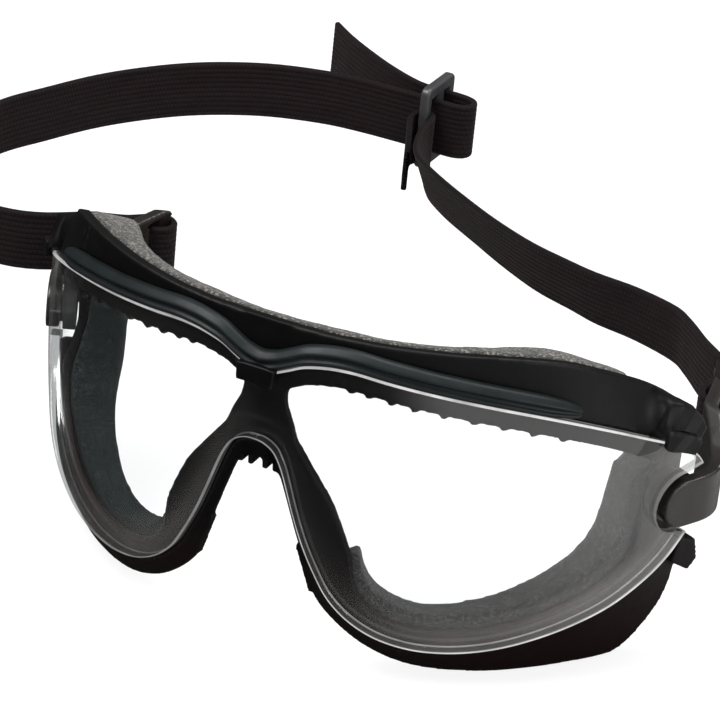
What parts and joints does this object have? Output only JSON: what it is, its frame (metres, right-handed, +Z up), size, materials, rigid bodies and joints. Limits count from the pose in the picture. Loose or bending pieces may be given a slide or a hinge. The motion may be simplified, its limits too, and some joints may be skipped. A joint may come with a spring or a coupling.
{
  "type": "safety goggles",
  "caption": "Wrap-around safety goggles: clear one-piece lens, black foam-lined face frame, pivoting strap arms and an elastic head strap with a slider.",
  "frame": {"origin": "front of the lens on the centre line, in the middle of the nose arch", "axes": "front faces -Y, wearer's left is +X, +Z up"},
  "size_m": [0.1955, 0.1974, 0.07],
  "materials": {
    "clear_lens": "clear hard-coated polycarbonate",
    "black_frame": "satin black moulded elastomer",
    "brow_trim": "dark grey gloss moulding",
    "seal_foam": "open-cell charcoal foam",
    "black_gloss": "glossy black moulding",
    "pivot_plastic": "black moulding",
    "thread": "black polyester thread",
    "slider_plastic": "black moulding with a soft sheen",
    "webbing": "dark woven elastic webbing"
  },
  "bodies": {
    "root": {"bridge_clip": "black_frame", "brow_foam": "seal_foam", "brow_trim": "brow_trim", "cheek_foam_left": "seal_foam", "cheek_foam_right": "seal_foam", "face_frame": "black_frame", "lens": "clear_lens", "pivot_housing_left": "pivot_plastic", "pivot_housing_right": "pivot_plastic", "pivot_retainer_left": "pivot_plastic", "pivot_retainer_right": "pivot_plastic", "strap_left": "webbing", "strap_right": "webbing"},
    "arm_left": {"pivot_pin_left": "pivot_plastic", "strap_arm_left": "black_gloss", "strap_end_left": "webbing", "strap_stitching_left": "thread"},
    "arm_right": {"pivot_pin_right": "pivot_plastic", "strap_arm_right": "black_gloss", "strap_end_right": "webbing", "strap_stitching_right": "thread"},
    "slider": {"strap_buckle": "slider_plastic", "strap_end_buckle": "webbing", "strap_fold_and_tail": "webbing"}
  },
  "joints": [
    {"name": "left_arm_pivot", "type": "hinge", "parent": "root", "child": "arm_left", "pos_m": [0.06866, 0.04512, -0.0072], "axis": [0.8946, -0.4468, 0], "range_deg": [-14, 12]},
    {"name": "right_arm_pivot", "type": "hinge", "parent": "root", "child": "arm_right", "pos_m": [-0.06866, 0.04512, -0.0072], "axis": [0.8946, 0.4468, 0], "range_deg": [-14, 12]},
    {"name": "strap_slider", "type": "slide", "parent": "root", "child": "slider", "axis": [1, 0, 0], "range_m": [-0.006, 0.006]}
  ]
}
